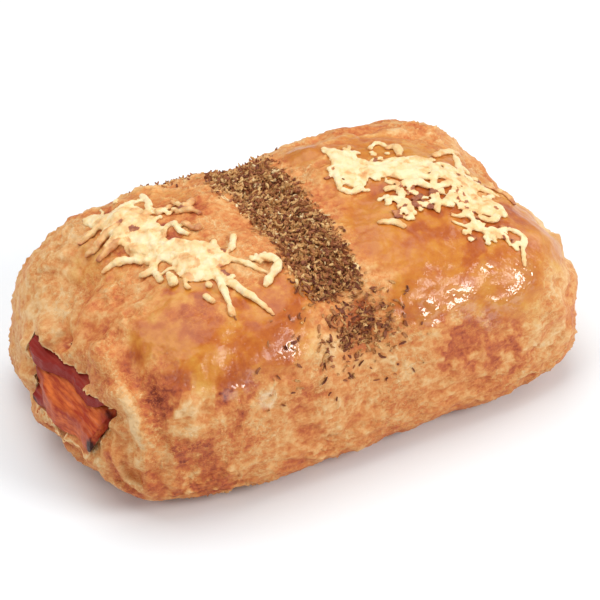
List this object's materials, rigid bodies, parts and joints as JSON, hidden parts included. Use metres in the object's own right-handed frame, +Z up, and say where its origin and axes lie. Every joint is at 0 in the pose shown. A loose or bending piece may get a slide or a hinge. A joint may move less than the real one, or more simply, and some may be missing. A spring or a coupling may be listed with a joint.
{
  "type": "ham and cheese pastry",
  "caption": "Plump golden puff pastry parcel, open at its ends on folded ham slices, topped with melted grated cheese and a band of dried herbs.",
  "frame": {"origin": "on the base, below the middle of the crust; the ham stands out a little further at the -X end", "axes": "+X along the pastry from the ham end to the other end, +Y across it to the back, +Z up"},
  "size_m": [0.1339, 0.0832, 0.0519],
  "materials": {
    "crust": "baked and egg-glazed",
    "ham": "moist, browned at the edges",
    "cheese": "melted, with toasted tips"
  },
  "bodies": {
    "root": {"crust": "crust", "ham_top": "ham", "ham_middle": "ham", "ham_bottom": "ham", "cheese_left": "cheese", "cheese_right": "cheese"}
  },
  "joints": []
}
